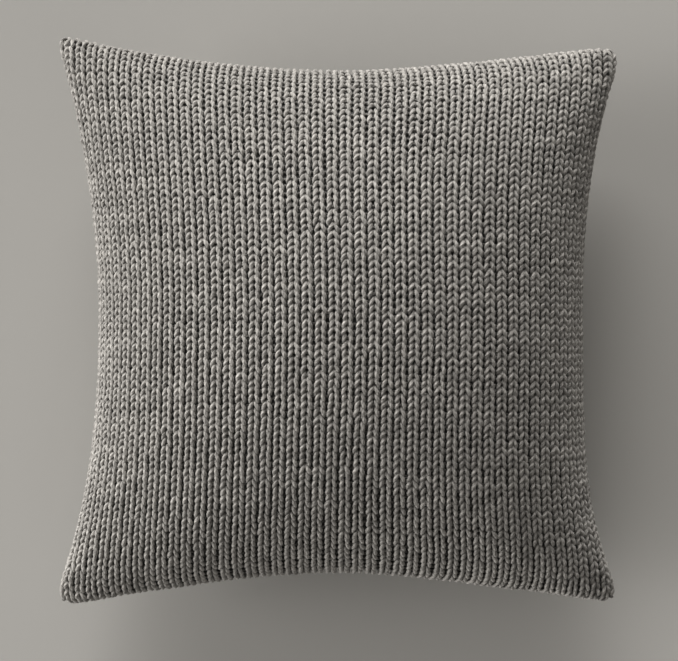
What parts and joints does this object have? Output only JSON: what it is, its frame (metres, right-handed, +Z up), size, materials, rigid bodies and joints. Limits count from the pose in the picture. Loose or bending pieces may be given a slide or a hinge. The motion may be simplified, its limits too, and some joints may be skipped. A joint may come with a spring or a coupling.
{
  "type": "throw pillow",
  "caption": "Square throw pillow lying flat: chunky stockinette knit cover, lined and zipped along the bottom seam, over a sewn insert with soft fill.",
  "frame": {"origin": "on the surface the pillow rests on, under the middle of the cover's outline", "axes": "+X across the pillow, +Y from the zipped bottom seam to the top seam, +Z up out of the front panel's crown"},
  "size_m": [0.51, 0.517, 0.1713],
  "materials": {
    "knit_yarn": "heathered grey plied yarn, matte and slightly hairy",
    "lining": "charcoal plain weave, matte",
    "sewing_thread": "dark polyester thread",
    "ticking": "off-white plain weave",
    "ticking_thread": "off-white thread",
    "fill": "white polyester fibre",
    "zip_tape": "charcoal herringbone tape",
    "zip_coil": "charcoal nylon",
    "zip_metal": "dark nickel, satin",
    "label": "white satin ribbon, blank"
  },
  "bodies": {
    "pillow": {"front_knit_panel": "knit_yarn", "back_knit_panel": "knit_yarn", "front_lining": "lining", "back_lining": "lining", "left_seam_yarn": "knit_yarn", "right_seam_yarn": "knit_yarn", "top_seam_yarn": "knit_yarn", "bottom_seam_yarn": "knit_yarn", "lining_seam_thread": "sewing_thread", "insert_front_ticking": "ticking", "insert_back_ticking": "ticking", "insert_fill": "fill", "insert_seam_thread": "ticking_thread", "insert_closing_stitch": "ticking_thread", "front_zipper_facing": "lining", "back_zipper_facing": "lining", "front_zipper_tape": "zip_tape", "back_zipper_tape": "zip_tape", "front_zipper_coil": "zip_coil", "back_zipper_coil": "zip_coil", "front_zipper_stitching": "sewing_thread", "back_zipper_stitching": "sewing_thread", "zipper_closed_end_stops": "zip_metal", "zipper_open_end_stop": "zip_metal", "care_label": "label"},
    "slider": {"zipper_slider": "zip_metal"},
    "pull": {"zipper_pull": "zip_metal"}
  },
  "joints": [
    {"name": "zip_slide", "type": "slide", "parent": "pillow", "child": "slider", "axis": [-1, 0, 0], "range_m": [0, 0.277]},
    {"name": "pull_hinge", "type": "hinge", "parent": "slider", "child": "pull", "pos_m": [0.1385, -0.2211, 0.076], "axis": [0, 0, 1], "range_deg": [0, 170]}
  ]
}
